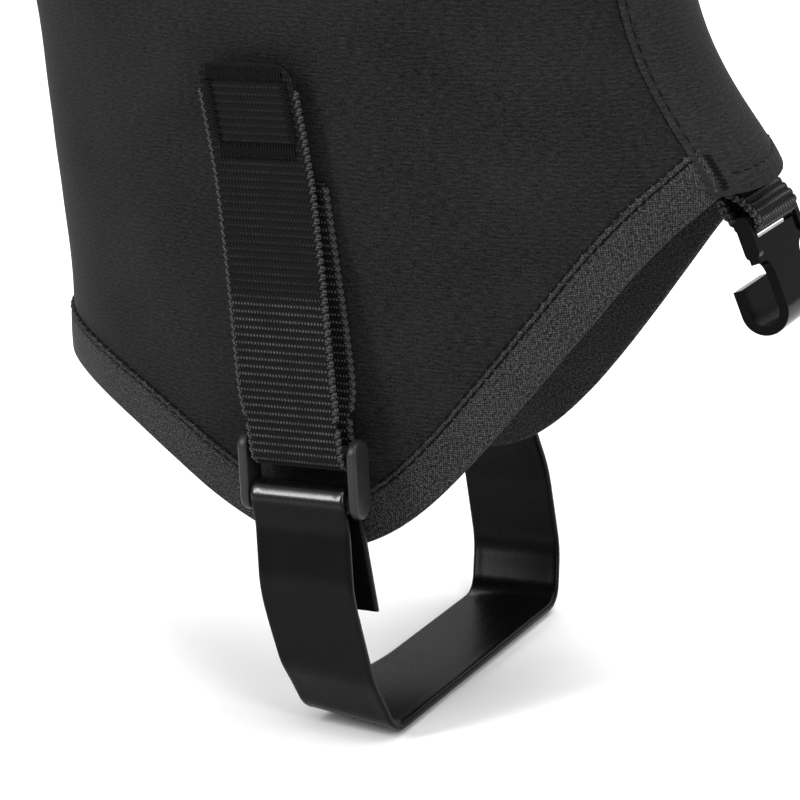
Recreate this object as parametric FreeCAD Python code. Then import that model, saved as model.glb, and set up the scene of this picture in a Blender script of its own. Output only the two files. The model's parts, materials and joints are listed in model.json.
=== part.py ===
import FreeCAD, Part
import math
import os

from FreeCAD import Vector

# A knee-high hiking gaiter for the right foot, standing as it is worn.
# Working frame: +X towards the toe, +Y towards the other leg, +Z up, millimetres.
# The last step moves everything so that the origin is the bottom centre of the bounding box.

# ---- driving dimensions ----
WEBBING_WIDTH = 25.0
WEBBING_THICK = 1.4
STRAP_WIDTH = 25.0
STRAP_THICK = 1.7
FABRIC_THICK = 0.9
HEM_WIDTH = 12.0
TOP_Z = 434.0
CUFF_HEIGHT = 26.0
PLACKET_SEAM_Z = 133.6
PLACKET_FREE_Z = 138.6
SEAM_Y = -19.4
PLACKET_FREE_Y = 17.0
PLACKET_CORNER_R = 7.0
PLACKET_SEAM_R = 0.5
UNDERLAP_Y = -10.0
PANEL_EDGE_Y = -16.5

# leg sections: height, reach to the front, reach to the back, half width
SECTIONS = (
    (34, 112.0, 79.5, 44.5),
    (60, 112.0, 80.0, 44.8),
    (90, 112.0, 80.8, 45.0),
    (118, 110.5, 83.2, 45.4),
    (137, 105.5, 85.4, 46.0),
    (150, 95.8, 87.2, 46.5),
    (164, 86.4, 89.0, 47.0),
    (180, 80.2, 90.6, 47.8),
    (200, 77.0, 91.8, 48.7),
    (230, 74.0, 92.4, 50.2),
    (265, 71.6, 92.0, 52.2),
    (300, 70.0, 90.4, 54.0),
    (335, 69.0, 88.0, 55.6),
    (370, 67.5, 85.0, 56.7),
    (405, 66.0, 82.0, 57.2),
    (440, 65.0, 79.0, 57.2),
)
SECTION_POINTS = 24
CUFF_SECTION = 13

# hem edge in side view: high at the heel, lowest behind the ring, highest at the instep
HEM_LINE = (
    (-100, 79.5), (-74, 75.5), (-53, 69.5), (-31, 59.5), (-9, 48.5), (7, 44.3), (22, 46.5),
    (38, 57.5), (57, 80.0), (78, 108.5), (92, 126.2), (98, 132.4), (103, 138.0), (109, 141.5),
    (130, 141.5),
)

# instep ring: centre between its two bars
RING = Vector(10.6, -53.2, 65.0)
RING_TURN = 3.0
BAR_GAP = 12.0
TOP_BAR = RING + Vector(0, 0, BAR_GAP / 2)
LOW_BAR = RING - Vector(0, 0, BAR_GAP / 2)
RING_INNER = 26.5
CHEEK_THICK = 2.5
CHEEK_RIM_R = 0.8
CHEEK_DEPTH = 7.6
CHEEK_LENGTH = 19.4
TOP_BAR_R = 1.9
LOW_BAR_R = 2.6
BAR_PLAY = 0.1
WEBBING_PLAY = 0.25

# strips through the ring: how far each leans forwards going down, in degrees
BASE_LEAN = 5.2
TAB_LEAN = 6.7
STRAP_LEAN = 7.5
LOOP_R = TOP_BAR_R + WEBBING_PLAY + WEBBING_THICK / 2
TAB_START_Z = 79.2
TAB_TOP_Z = 163.2
TAB_CORNER_R = 4.0
STRAP_TAIL_Z = 31.0

# hook-and-loop patches between the tab and the ankle
PATCH_THICK = 0.65
PATCH_GAP = 0.85
PATCH_INSET = 1.0
ANKLE_FACE_Y = -47.55
ANKLE_SLOPE = 0.05
ANKLE_SLOPE_Z = 136.0

# anchor rivet on the inner side of the ankle
RIVET_R = 2.0
RIVET_HEAD_R = 4.6
RIVET_PLAY = 0.08
RIVET_HEAD_THICK = 1.8
RIVET_INNER_Y = 41.5
WASHER_R = 5.2
WASHER_THICK = 1.0
WASHER_Y = 42.3
MEDIAL_STRAP_Y = 46.6
ANCHOR_PATCH_HALF = 16.0
ANCHOR_PATCH_Z = (60.5, 88.0)

# lace hook: centre of its bar, width and hanging angle
HOOK_BAR = Vector(103.8, 2.0, 126.8)
HOOK_INNER = 26.6
HOOK_CHEEK = 2.6
HOOK_HANG = 23.0
HOOK_SIDE = 1.8
HOOK_BAR_R = 1.7
HOOK_PLATE = 2.3
HOOK_MOUTH = 7.2
HOOK_LENGTH = 26.0
HOOK_LIP = 15.0
HOOK_SLOT = 4.1
HOOK_SHOULDER = 9.5
HOOK_TONGUE_HALF = 9.2
HOOK_SHOULDER_R = 4.0

# webbing of the lace hook: its sewn end inside the front, and the bend at the hem
HOOK_SEWN_TOP = (91.8, 144.0)
HOOK_KNEE = (96.9, 132.8)
HOOK_SEWN_Z = (138.0, 156.0)

# calf cinch: webbing, cam buckle and lever on the outer side of the cuff
CINCH_LOW = TOP_Z - 21.7
CINCH_HIGH = TOP_Z - 4.3
CINCH_OFFSET = 3.0
CINCH_THICK = 1.2
CINCH_X = (-56.0, 48.0)
CINCH_TIP_X = 53.0
BUCKLE_X = (0.0, 25.0)
ANCHOR_TAB_X = 43.0
BUCKLE_WALL = 2.5
PIN_R = 1.1
PIN_PLAY = 0.06
LEVER_HUB_R = 2.4
LEVER_SLOPE = 8.0
LEVER_LENGTH = 23.0
LEVER_THICK = 2.0
LEVER_AXIS_X = 6.0
LEVER_AXIS_OFFSET = 7.2
CALF_FRONT = 65.4
CALF_HALF = 57.2

WIDE = 300.0
_lofts = {}


def section(row, grow):
    """Closed oval round the leg at one height, with every half axis longer by grow."""
    z, front, back, half = row
    points = []
    for i in range(SECTION_POINTS):
        a = 2 * math.pi * i / SECTION_POINTS
        reach = (front if math.cos(a) >= 0 else back) + grow
        points.append(Vector(reach * math.cos(a), (half + grow) * math.sin(a), z))
    curve = Part.BSplineCurve()
    curve.interpolate(points, PeriodicFlag=True)
    return Part.Wire([curve.toShape()])


def leg(grow, first=0):
    """Solid of the leg shape from one section upwards, offset outwards by grow."""
    key = (round(grow, 3), first)
    if key not in _lofts:
        rows = SECTIONS[first:]
        _lofts[key] = Part.makeLoft([section(row, grow) for row in rows], True, False)
    return _lofts[key]


def shell(inner, outer, first=0):
    """Fabric layer between two offsets of the leg shape."""
    return leg(outer, first).cut(leg(inner, first))


def cuff_shell(inner, outer):
    """Layer round the calf, near the top edge only."""
    return shell(inner, outer, CUFF_SECTION)


def block(x, y, z):
    """Box from three (low, high) pairs."""
    size = (x[1] - x[0], y[1] - y[0], z[1] - z[0])
    return Part.makeBox(*size, Vector(x[0], y[0], z[0]))


def side_cut(points):
    """Prism across the whole gaiter, below a smooth line given in side view."""
    line = Part.BSplineCurve()
    line.interpolate([Vector(x, -WIDE, z) for x, z in points])
    start = Vector(points[0][0], -WIDE, points[0][1])
    end = Vector(points[-1][0], -WIDE, points[-1][1])
    low_end = Vector(end.x, -WIDE, -WIDE)
    low_start = Vector(start.x, -WIDE, -WIDE)
    edges = [
        line.toShape(),
        Part.makeLine(end, low_end),
        Part.makeLine(low_end, low_start),
        Part.makeLine(low_start, start),
    ]
    return Part.Face(Part.Wire(edges)).extrude(Vector(0, 2 * WIDE, 0))


def raised(points, distance):
    """Line in side view moved upwards, square to itself."""
    moved = []
    last = len(points) - 1
    for i, (x, z) in enumerate(points):
        x0, z0 = points[max(i - 1, 0)]
        x1, z1 = points[min(i + 1, last)]
        length = math.hypot(x1 - x0, z1 - z0)
        moved.append((x - (z1 - z0) / length * distance, z + (x1 - x0) / length * distance))
    return moved


def largest(shape):
    """Biggest solid of a boolean result."""
    return max(shape.Solids, key=lambda s: s.Volume)


def turned(shape, point, axis, degrees):
    moved = shape.copy()
    moved.rotate(point, axis, degrees)
    return moved


# ---- strips: a flat path of straight runs and tangent arcs, given a thickness ----
def path_wire(points, radii):
    """Open wire through the points, with each inner corner rounded to its radius."""
    edges = []
    start = points[0]
    for corner, after, radius in zip(points[1:-1], points[2:], radii):
        back = (start - corner).normalize()
        ahead = (after - corner).normalize()
        half = back.getAngle(ahead) / 2
        reach = radius / math.tan(half)
        a = corner + back * reach
        b = corner + ahead * reach
        middle = (back + ahead).normalize()
        centre = corner + middle * (radius / math.sin(half))
        edges.append(Part.makeLine(start, a))
        edges.append(Part.Arc(a, centre - middle * radius, b).toShape())
        start = b
    edges.append(Part.makeLine(start, points[-1]))
    return Part.Wire(edges)


def strip(wire, thick, across):
    """Flat path thickened evenly to both sides and extruded by the vector across."""
    inner = wire.makeOffset2D(-thick / 2, 0, False, True)
    face = inner.makeOffset2D(thick, 0, True, True)
    face.translate(across * -0.5)
    return face.extrude(across)


def leaning_strip(points, radii, thick, width, bar, lean):
    """Strip in the side plane of the leg; its line leans forwards going down, about the given bar."""
    wire = path_wire([Vector(bar.x, y, z) for y, z in points], radii)
    inner = wire.makeOffset2D(-thick / 2, 0, False, True)
    face = inner.makeOffset2D(thick, 0, True, True)
    return leaned(face, width, bar, lean)


def leaned(face, width, bar, lean):
    """Solid from a face in the side plane: leaned about the bar, widened, and turned with the ring."""
    face.rotate(bar, Vector(0, 1, 0), -lean)
    face.translate(Vector(-width / 2, 0, 0))
    solid = face.extrude(Vector(width, 0, 0))
    return turned(solid, RING, Vector(0, 1, 0), -RING_TURN)


# ---- fabric body ----
def hem_cut():
    return side_cut(HEM_LINE)


def hem_top_cut():
    return side_cut(raised(HEM_LINE, HEM_WIDTH))


def front_slit():
    """Narrow gap in the fabric tube, under the placket."""
    return block((0, WIDE), (PANEL_EDGE_Y, UNDERLAP_Y), (0, 2 * WIDE))


def main_body_panel():
    panel = shell(-FABRIC_THICK, 0)
    panel = panel.common(block((-WIDE, WIDE), (-WIDE, WIDE), (0, TOP_Z - CUFF_HEIGHT)))
    panel = panel.cut(hem_top_cut()).cut(front_slit())
    return largest(panel.cut(rivet_hole(RIVET_R)))


def hem_band():
    band = shell(-FABRIC_THICK, 0.35).cut(hem_cut())
    return largest(band.common(hem_top_cut()).cut(front_slit()))


def top_cuff():
    heights = (TOP_Z - CUFF_HEIGHT, TOP_Z)
    cuff = cuff_shell(-1.2, 1.6).common(block((-WIDE, WIDE), (-WIDE, WIDE), heights))
    cuff = cuff.cut(front_slit())
    return largest(cuff.cut(cuff_tunnel()).cut(cinch_exit(0.3)))


def cuff_tunnel():
    """Hollow of the folded cuff, from the inner front round the back to the cinch exit."""
    heights = (TOP_Z - CUFF_HEIGHT + 3, TOP_Z - 3)
    ring = cuff_shell(-0.5, 0.9).common(block((-WIDE, WIDE), (-WIDE, WIDE), heights))
    return ring.cut(block((-51, WIDE), (-WIDE, 12), (0, 2 * WIDE)))


def cinch_exit(play):
    """Where the cinch webbing passes through the outer wall of the cuff."""
    heights = (CINCH_LOW - play, CINCH_HIGH + play)
    region = block((-56.0 - play, -53.0 + play), (-WIDE, 0), heights)
    return cuff_shell(0.72 - play * 0.1, CINCH_OFFSET + CINCH_THICK).common(region)


def cuff_elastic():
    heights = (CINCH_LOW, CINCH_HIGH)
    ring = cuff_shell(-0.35, 0.7).common(block((-WIDE, WIDE), (-WIDE, WIDE), heights))
    return largest(ring.cut(block((-52.5, WIDE), (-WIDE, 14), (0, 2 * WIDE))))


# ---- placket and its hook-and-loop tapes ----
def front_strip(inner, outer, y, z):
    region = block((20, WIDE), y, z)
    return shell(inner, outer).common(region)


def placket_outline():
    """Prism towards the toe: straight sides, a sloping lower edge and one large round corner."""
    corners = [
        Vector(20, SEAM_Y, TOP_Z), Vector(20, SEAM_Y, PLACKET_SEAM_Z),
        Vector(20, PLACKET_FREE_Y, PLACKET_FREE_Z), Vector(20, PLACKET_FREE_Y, TOP_Z),
    ]
    outline = path_wire(corners, [PLACKET_SEAM_R, PLACKET_CORNER_R])
    top = Part.makeLine(corners[-1], corners[0])
    return Part.Face(Part.Wire(outline.Edges + [top])).extrude(Vector(WIDE, 0, 0))


def placket():
    return largest(shell(1.85, 2.75).common(placket_outline()))


def placket_hook_tape():
    return largest(front_strip(1.0, 1.8, (-7, 15), (154, 400)))


def body_loop_tape():
    return largest(front_strip(0.05, 0.85, (-8.5, 16.5), (152, 402)))


# ---- calf cinch ----
def cinch_webbing():
    heights = (CINCH_LOW, CINCH_HIGH)
    region = block(CINCH_X, (-WIDE, 0), heights)
    band = cuff_shell(CINCH_OFFSET, CINCH_OFFSET + CINCH_THICK).common(region)
    return largest(band.fuse(cinch_exit(0)))


def cinch_tail_tip():
    """Folded and stitched end of the cinch webbing."""
    region = block((CINCH_X[1], CINCH_TIP_X), (-WIDE, 0), (CINCH_LOW, CINCH_HIGH))
    return largest(cuff_shell(CINCH_OFFSET, CINCH_OFFSET + 2 * CINCH_THICK).common(region))


def buckle_anchor_tab():
    region = block((BUCKLE_X[1], ANCHOR_TAB_X), (-WIDE, 0), (CINCH_LOW, CINCH_HIGH))
    return largest(cuff_shell(1.65, 2.75).common(region))


def lever_point():
    """Centre of the lever pin, just outside the webbing."""
    a = -math.acos(LEVER_AXIS_X / CALF_FRONT)
    x = (CALF_FRONT + LEVER_AXIS_OFFSET) * math.cos(a)
    y = (CALF_HALF + LEVER_AXIS_OFFSET) * math.sin(a)
    return Vector(x, y, TOP_Z - CUFF_HEIGHT / 2)


def buckle_angle():
    """Slope of the calf under the lever, in degrees."""
    across = math.asin(LEVER_AXIS_X / CALF_FRONT)
    return math.degrees(math.atan(CALF_HALF / CALF_FRONT * math.tan(across)))


def pin_cylinder(radius, half_length):
    centre = lever_point()
    return Part.makeCylinder(radius, 2 * half_length, centre - Vector(0, 0, half_length))


def cam_buckle_frame():
    middle = TOP_Z - CUFF_HEIGHT / 2
    inside = (CINCH_HIGH - CINCH_LOW) / 2 + 0.3
    outside = inside + BUCKLE_WALL
    plate = cuff_shell(1.7, 2.7).common(
        block(BUCKLE_X, (-WIDE, 0), (middle - outside, middle + outside))
    )
    body = plate
    for low, high in ((-outside, -inside), (inside, outside)):
        wall = cuff_shell(1.7, 9.4).common(
            block(BUCKLE_X, (-WIDE, 0), (middle + low, middle + high))
        )
        body = body.fuse(wall)
    return largest(body.cut(pin_cylinder(PIN_R, outside + 1)))


def cam_lever_pin():
    half = (CINCH_HIGH - CINCH_LOW) / 2 + 0.3 + BUCKLE_WALL
    return pin_cylinder(PIN_R, half)


def cam_buckle_lever():
    centre = lever_point()
    half = (CINCH_HIGH - CINCH_LOW) / 2
    hub = pin_cylinder(LEVER_HUB_R, half)
    blade = block(
        (centre.x, centre.x + LEVER_LENGTH),
        (centre.y - 0.3 - LEVER_THICK, centre.y - 0.3),
        (centre.z - half, centre.z + half),
    )
    blade = turned(blade, centre, Vector(0, 0, 1), buckle_angle() + LEVER_SLOPE)
    blade = blade.makeFillet(0.8, [e for e in blade.Edges if e.Length > 2 * half - 1])
    return largest(hub.fuse(blade).cut(pin_cylinder(PIN_R + PIN_PLAY, half + 1)))


# ---- buckle webbing on the outer side of the ankle ----
def webbing_path():
    """Base layer up the ankle, round the top bar of the ring and up again outside it."""
    y_in = TOP_BAR.y + LOOP_R
    y_out = TOP_BAR.y - LOOP_R
    low = TOP_BAR.z - LOOP_R
    points = [
        (-47.2, 134.5), (-46.5, 100.0), (-46.9, 86.0), (y_in, 76.5),
        (y_in, low), (y_out, low), (y_out, TAB_START_Z - 0.5),
    ]
    radii = [60.0, 14.0, 8.0, LOOP_R - 0.001, LOOP_R - 0.001]
    return points, radii


def buckle_webbing():
    points, radii = webbing_path()
    return leaning_strip(points, radii, WEBBING_THICK, WEBBING_WIDTH, TOP_BAR, BASE_LEAN)


def tab_layer(distance, z0, z1):
    """Straight patch beside the tab's upper half, at a distance outside the ankle fabric."""
    points = []
    for z in (z0, z1):
        points.append(Vector(TOP_BAR.x, ANKLE_FACE_Y - distance - ANKLE_SLOPE * (z - ANKLE_SLOPE_Z), z))
    wire = Part.Wire([Part.makeLine(*points)])
    face = wire.extrude(Vector(0, -1, -ANKLE_SLOPE).normalize() * PATCH_THICK)
    return leaned(face, WEBBING_WIDTH - 2 * PATCH_INSET, TOP_BAR, TAB_LEAN)


def tab_loop_patch():
    return tab_layer(0, 139, 160)


def tab_hook_patch():
    return tab_layer(PATCH_GAP, 140, 159)


def adjuster_tab():
    y_out = TOP_BAR.y - LOOP_R
    points = [
        (y_out, TAB_START_Z), (y_out + 0.4, 88), (-52.6, 112), (-50.1, 136.0),
        (-50.1 - ANKLE_SLOPE * (TAB_TOP_Z - 136.0), TAB_TOP_Z),
    ]
    solid = leaning_strip(points, [30.0, 60.0, 90.0], WEBBING_THICK, WEBBING_WIDTH, TOP_BAR, TAB_LEAN)
    upright = [
        e for e in solid.Edges
        if e.Length < WEBBING_THICK + 0.3 and e.CenterOfMass.z > TAB_TOP_Z - TAB_CORNER_R
    ]
    return solid.makeFillet(TAB_CORNER_R, upright)


# ---- instep ring and strap ----
def cheek(x0):
    """Rounded side plate of the ring, starting at x0."""
    r = CHEEK_DEPTH / 2
    straight = CHEEK_LENGTH / 2 - r
    body = block(
        (RING.x + x0, RING.x + x0 + CHEEK_THICK), (RING.y - r, RING.y + r),
        (RING.z - straight, RING.z + straight),
    )
    for side in (-straight, straight):
        end = Part.makeCylinder(r, CHEEK_THICK, RING + Vector(x0, 0, side), Vector(1, 0, 0))
        body = body.fuse(end)
    body = body.removeSplitter()
    rims = [e for e in body.Edges if abs(e.BoundBox.XLength) < 0.01 and e.Length > 3.5]
    return body.makeFillet(CHEEK_RIM_R, rims)


def instep_ring():
    half = RING_INNER / 2
    ring = cheek(-half - CHEEK_THICK).fuse(cheek(half))
    for bar, radius in ((TOP_BAR, TOP_BAR_R), (LOW_BAR, LOW_BAR_R)):
        start = bar - Vector(half + 1, 0, 0)
        ring = ring.fuse(Part.makeCylinder(radius, 2 * half + 2, start, Vector(1, 0, 0)))
    return turned(largest(ring), RING, Vector(0, 1, 0), -RING_TURN)


def instep_strap():
    """Tail behind the front run, over the lower bar, down, under the boot and up to the rivet."""
    wrap = LOW_BAR_R + BAR_PLAY + STRAP_THICK / 2
    y_in = LOW_BAR.y + wrap
    y_out = LOW_BAR.y - wrap
    high = LOW_BAR.z + wrap
    floor = STRAP_THICK / 2
    inner_side = MEDIAL_STRAP_Y + STRAP_THICK / 2
    points = [
        (y_in, STRAP_TAIL_Z), (y_in, high), (y_out, high), (y_out, 53), (-60.2, 38), (-57.5, 16),
        (-50.5, floor), (47.0, floor), (53.5, 14), (54.5, 36), (inner_side, 58), (inner_side, 83),
    ]
    radii = [wrap - 0.001, wrap - 0.001, 18.0, 25.0, 16.0, 7.0, 8.0, 20.0, 25.0, 22.0]
    strap = leaning_strip(points, radii, STRAP_THICK, STRAP_WIDTH, LOW_BAR, STRAP_LEAN)
    return strap.cut(rivet_hole(RIVET_R + RIVET_PLAY))


def swing_point():
    """Centre of the ring's top bar, on the line about which the strap swings."""
    return turned(Part.Vertex(TOP_BAR), RING, Vector(0, 1, 0), -RING_TURN).Point


def rivet_hole(radius):
    axis = swing_point()
    return Part.makeCylinder(radius, 30, Vector(axis.x, 30, axis.z), Vector(0, 1, 0))


def strap_rivet():
    axis = swing_point()
    y0 = MEDIAL_STRAP_Y + STRAP_THICK + 0.1
    inner = Vector(axis.x, RIVET_INNER_Y, axis.z)
    shank = Part.makeCylinder(RIVET_R, y0 - RIVET_INNER_Y, inner, Vector(0, 1, 0))
    head = Part.makeCylinder(RIVET_HEAD_R, RIVET_HEAD_THICK, Vector(axis.x, y0, axis.z), Vector(0, 1, 0))
    face_y = y0 + RIVET_HEAD_THICK
    rim = [e for e in head.Edges if abs(e.CenterOfMass.y - face_y) < 0.01 and e.Length > 20]
    return largest(shank.fuse(head.makeFillet(RIVET_HEAD_THICK - 0.3, rim)))


def rivet_washer():
    axis = swing_point()
    disc = Part.makeCylinder(WASHER_R, WASHER_THICK, Vector(axis.x, WASHER_Y, axis.z), Vector(0, 1, 0))
    return disc.cut(rivet_hole(RIVET_R))


def anchor_patch():
    """Reinforcing patch under the strap end."""
    axis = swing_point()
    sides = (axis.x - ANCHOR_PATCH_HALF, axis.x + ANCHOR_PATCH_HALF)
    region = block(sides, (0, WIDE), ANCHOR_PATCH_Z)
    patch = shell(0.4, 1.2).common(region)
    return largest(patch.cut(rivet_hole(RIVET_R)))


# ---- lace hook ----
def hook_frame(u, v):
    """Point in the side plane: u down along the hanging hook, v towards the toe."""
    a = math.radians(HOOK_HANG)
    x = HOOK_BAR.x + u * math.sin(a) + v * math.cos(a)
    z = HOOK_BAR.z - u * math.cos(a) + v * math.sin(a)
    return Vector(x, HOOK_BAR.y, z)


def side_frame(y, u0, u1, v):
    """Rectangle in the side plane at y, from u0 to u1 along the hook and v to either side of it."""
    corners = [hook_frame(u0, v), hook_frame(u1, v), hook_frame(u1, -v), hook_frame(u0, -v)]
    side = Part.Face(Part.makePolygon(corners + corners[:1]))
    side.translate(Vector(0, y, 0))
    return side


def shoulder_cut(side):
    """What is left out beside the hook's tongue, below its slot frame; side is -1 or 1."""
    edge = HOOK_TONGUE_HALF * side
    face = side_frame(edge, HOOK_SHOULDER, HOOK_LENGTH * 2, HOOK_LENGTH)
    cut = face.extrude(Vector(0, side * HOOK_INNER, 0))
    corner = hook_frame(HOOK_SHOULDER, 0) + Vector(0, edge, 0)
    inner = [e for e in cut.Edges if (e.CenterOfMass - corner).Length < 0.01]
    return cut.makeFillet(HOOK_SHOULDER_R, inner)


def lace_hook():
    """Slot frame round the bar, then a narrower tongue that curls back under itself."""
    width = HOOK_INNER + 2 * HOOK_CHEEK
    across = Vector(0, width, 0)
    behind = -HOOK_MOUTH - HOOK_PLATE
    points = [
        hook_frame(HOOK_SLOT, 0), hook_frame(HOOK_LENGTH, 0),
        hook_frame(HOOK_LENGTH, behind), hook_frame(HOOK_LIP, behind),
    ]
    bend = -behind / 2 - 0.001
    hook = strip(path_wire(points, [bend, bend]), HOOK_PLATE, across)
    hook = hook.cut(shoulder_cut(-1)).cut(shoulder_cut(1))
    bar_start = HOOK_BAR - across * 0.5
    hook = hook.fuse(Part.makeCylinder(HOOK_BAR_R, width, bar_start, Vector(0, 1, 0)))
    for y in (-width / 2, width / 2 - HOOK_CHEEK):
        side = side_frame(y, -HOOK_SIDE, HOOK_SHOULDER - 1, HOOK_SIDE).extrude(Vector(0, HOOK_CHEEK, 0))
        side = side.makeFillet(HOOK_SIDE - 0.2, [e for e in side.Edges if abs(e.Length - HOOK_CHEEK) < 0.01])
        hook = hook.fuse(side)
    return largest(hook)


def lace_hook_webbing():
    """Sewn inside the front hem, out under the placket and round the hook's bar."""
    wrap = HOOK_BAR_R + WEBBING_PLAY + WEBBING_THICK / 2
    across = Vector(0, WEBBING_WIDTH, 0)
    top = Vector(HOOK_SEWN_TOP[0], HOOK_BAR.y, HOOK_SEWN_TOP[1])
    knee = Vector(HOOK_KNEE[0], HOOK_BAR.y, HOOK_KNEE[1])
    end = HOOK_BAR + (knee - HOOK_BAR).normalize() * wrap
    doubled = strip(path_wire([top, knee, end], [8.0]), 2 * WEBBING_THICK, across)
    side = HOOK_BAR - across * 0.5
    loop = doubled.fuse(Part.makeCylinder(wrap + WEBBING_THICK / 2, WEBBING_WIDTH, side, across))
    hollow = Part.makeCylinder(wrap - WEBBING_THICK / 2, WEBBING_WIDTH, side, across)
    sides = (HOOK_BAR.y - WEBBING_WIDTH / 2, HOOK_BAR.y + WEBBING_WIDTH / 2)
    sewn = shell(-2.5, -1.05).common(block((60, WIDE), sides, HOOK_SEWN_Z))
    fold = shell(-8.5, -1.05).common(block((60, WIDE), sides, (140.5, HOOK_SEWN_TOP[1])))
    return largest(sewn.fuse(fold).fuse(loop).cut(hollow))


PIECES = (
    main_body_panel, hem_band, placket, placket_hook_tape, body_loop_tape,
    top_cuff, cuff_elastic, cinch_webbing, cinch_tail_tip, buckle_anchor_tab,
    cam_buckle_frame, cam_lever_pin, cam_buckle_lever,
    buckle_webbing, adjuster_tab, tab_hook_patch, tab_loop_patch,
    instep_ring, instep_strap, strap_rivet, rivet_washer, anchor_patch,
    lace_hook_webbing, lace_hook,
)


def main():
    shapes = {make.__name__: make() for make in PIECES}
    box = FreeCAD.BoundBox()
    for shape in shapes.values():
        box.add(shape.optimalBoundingBox(False))
    shift = Vector(-box.Center.x, -box.Center.y, -box.ZMin)
    os.makedirs("parts", exist_ok=True)
    for name, shape in shapes.items():
        shape.translate(shift)
        shape.exportStep(os.path.join("parts", name + ".step"))
        print(name, shape.isValid(), len(shape.Solids), round(shape.Volume, 1))
    print("size", [round(v, 2) for v in (box.XLength, box.YLength, box.ZLength)])
    print("shift", [round(v, 4) for v in shift])
    points = {"swing": swing_point(), "hook_bar": HOOK_BAR, "lever": lever_point()}
    for name, point in points.items():
        print(name, [round(v, 4) for v in point + shift])


main()
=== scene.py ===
import json
import math

import bmesh
import bpy
import numpy as np
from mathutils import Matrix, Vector


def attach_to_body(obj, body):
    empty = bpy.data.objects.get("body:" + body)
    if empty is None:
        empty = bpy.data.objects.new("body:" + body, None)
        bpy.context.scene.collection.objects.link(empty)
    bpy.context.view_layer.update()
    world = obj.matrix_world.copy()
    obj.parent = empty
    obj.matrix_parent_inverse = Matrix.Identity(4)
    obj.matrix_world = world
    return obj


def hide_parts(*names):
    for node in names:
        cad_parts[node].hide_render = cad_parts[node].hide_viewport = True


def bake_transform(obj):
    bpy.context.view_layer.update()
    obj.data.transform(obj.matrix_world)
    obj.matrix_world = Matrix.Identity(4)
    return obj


# A knee-high hiking gaiter for the right foot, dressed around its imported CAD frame.
# Shapes are worked out in the leg frame, in millimetres: +X toe, +Y towards the other leg, +Z up.
# place functions take flat cloth coordinates and a height over the cloth, and give leg frame points.
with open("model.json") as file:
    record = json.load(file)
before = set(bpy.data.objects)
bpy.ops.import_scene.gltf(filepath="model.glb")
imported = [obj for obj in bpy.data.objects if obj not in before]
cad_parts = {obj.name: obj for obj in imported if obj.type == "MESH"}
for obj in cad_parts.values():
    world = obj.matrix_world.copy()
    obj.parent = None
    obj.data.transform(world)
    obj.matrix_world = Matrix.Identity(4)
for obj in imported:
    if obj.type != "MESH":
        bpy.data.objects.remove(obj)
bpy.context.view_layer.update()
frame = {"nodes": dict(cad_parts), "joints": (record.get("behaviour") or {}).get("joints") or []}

# ---- sizes shared with the design ----
TOP_Z = 434.0
CUFF_Z = 408.0
CUFF_ROWS = (411.2, 430.6)
CUFF_MIDDLE_Z = 420.0
HEM_WIDTH = 12.0
HEM_GROOVE = 10.4
HEM_RIDGE = 11.1
HEM_SEAM_ROW = 11.8
HEM_FRONT_Z = 134.5
SEAM_Y = -19.4
FREE_Y = 17.0
PLACKET_Z = 136.2
PLACKET_RISE = 5.0
PLACKET_CORNER = 7.0
PLACKET_SEAM_INSET = 1.6
PLACKET_ROW_RISE = 4.4
UNDERLAP_Y = -10.0
PANEL_EDGE_Y = -16.5
WEBBING_WIDTH = 25.0
WEBBING_THICK = 1.4
STRAP_WIDTH = 25.0
STRAP_THICK = 1.7
CINCH_LOW = TOP_Z - 21.7
CINCH_HIGH = TOP_Z - 4.3
RING = np.array((10.6, -53.2, 65.0))
RING_TURN = math.radians(3.0)
BASE_LEAN = math.radians(5.2)
TAB_LEAN = math.radians(6.7)
STRAP_LEAN = math.radians(7.5)
HALF_GAP = np.array((0.0, 0.0, 6.0))
TOP_BAR = RING + HALF_GAP
LOW_BAR = RING - HALF_GAP
LOOP_R = 3.05
LOW_WRAP = 3.55
TAB_FOOT_Z = 78.0
LOOP_TOP_Z = 79.5
OVERLAP = 2.0
TAB_END_Z = 163.2
TAB_CORNER = 4.0
TAB_BEND = (77, 87)
# run along the adjuster tab beyond which its painted sheen dots are fainter
DOT_FADE_FROM = 30.0
SQUEEZE = 0.945
CHEEK_Z = (77, 85)
POLISH_START = (29, 32)
POLISH_END = (40, 37)
BASE_SEWN_Z = 134.5
BASE_BEND_Z = 120.0
HOOK_BAR = np.array((103.8, 2.0, 126.8))
HOOK_BAR_R = 1.7
HOOK_SEWN_TOP = np.array((91.8, 144.0))
HOOK_KNEE = np.array((96.9, 132.8))

# leg sections: height, reach to the front, reach to the back, half width
SECTIONS = np.array((
    (34, 112.0, 79.5, 44.5), (60, 112.0, 80.0, 44.8), (90, 112.0, 80.8, 45.0), (118, 110.5, 83.2, 45.4),
    (137, 105.5, 85.4, 46.0), (150, 95.8, 87.2, 46.5), (164, 86.4, 89.0, 47.0), (180, 80.2, 90.6, 47.8),
    (200, 77.0, 91.8, 48.7), (230, 74.0, 92.4, 50.2), (265, 71.6, 92.0, 52.2), (300, 70.0, 90.4, 54.0),
    (335, 69.0, 88.0, 55.6), (370, 67.5, 85.0, 56.7), (405, 66.0, 82.0, 57.2), (440, 65.0, 79.0, 57.2),
))
HEM_LINE = np.array((
    (-100, 79.5), (-74, 75.5), (-53, 69.5), (-31, 59.5), (-9, 48.5), (7, 44.3), (22, 46.5),
    (38, 57.5), (57, 80.0), (78, 108.5), (92, 126.2), (98, 132.4), (103, 138.0), (109, 141.5),
    (130, 141.5),
))

# webbing and thread
RIB = 1.85
FLOAT_PITCH = 0.82
STITCH = 3.1
THREAD_R = 0.22


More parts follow.
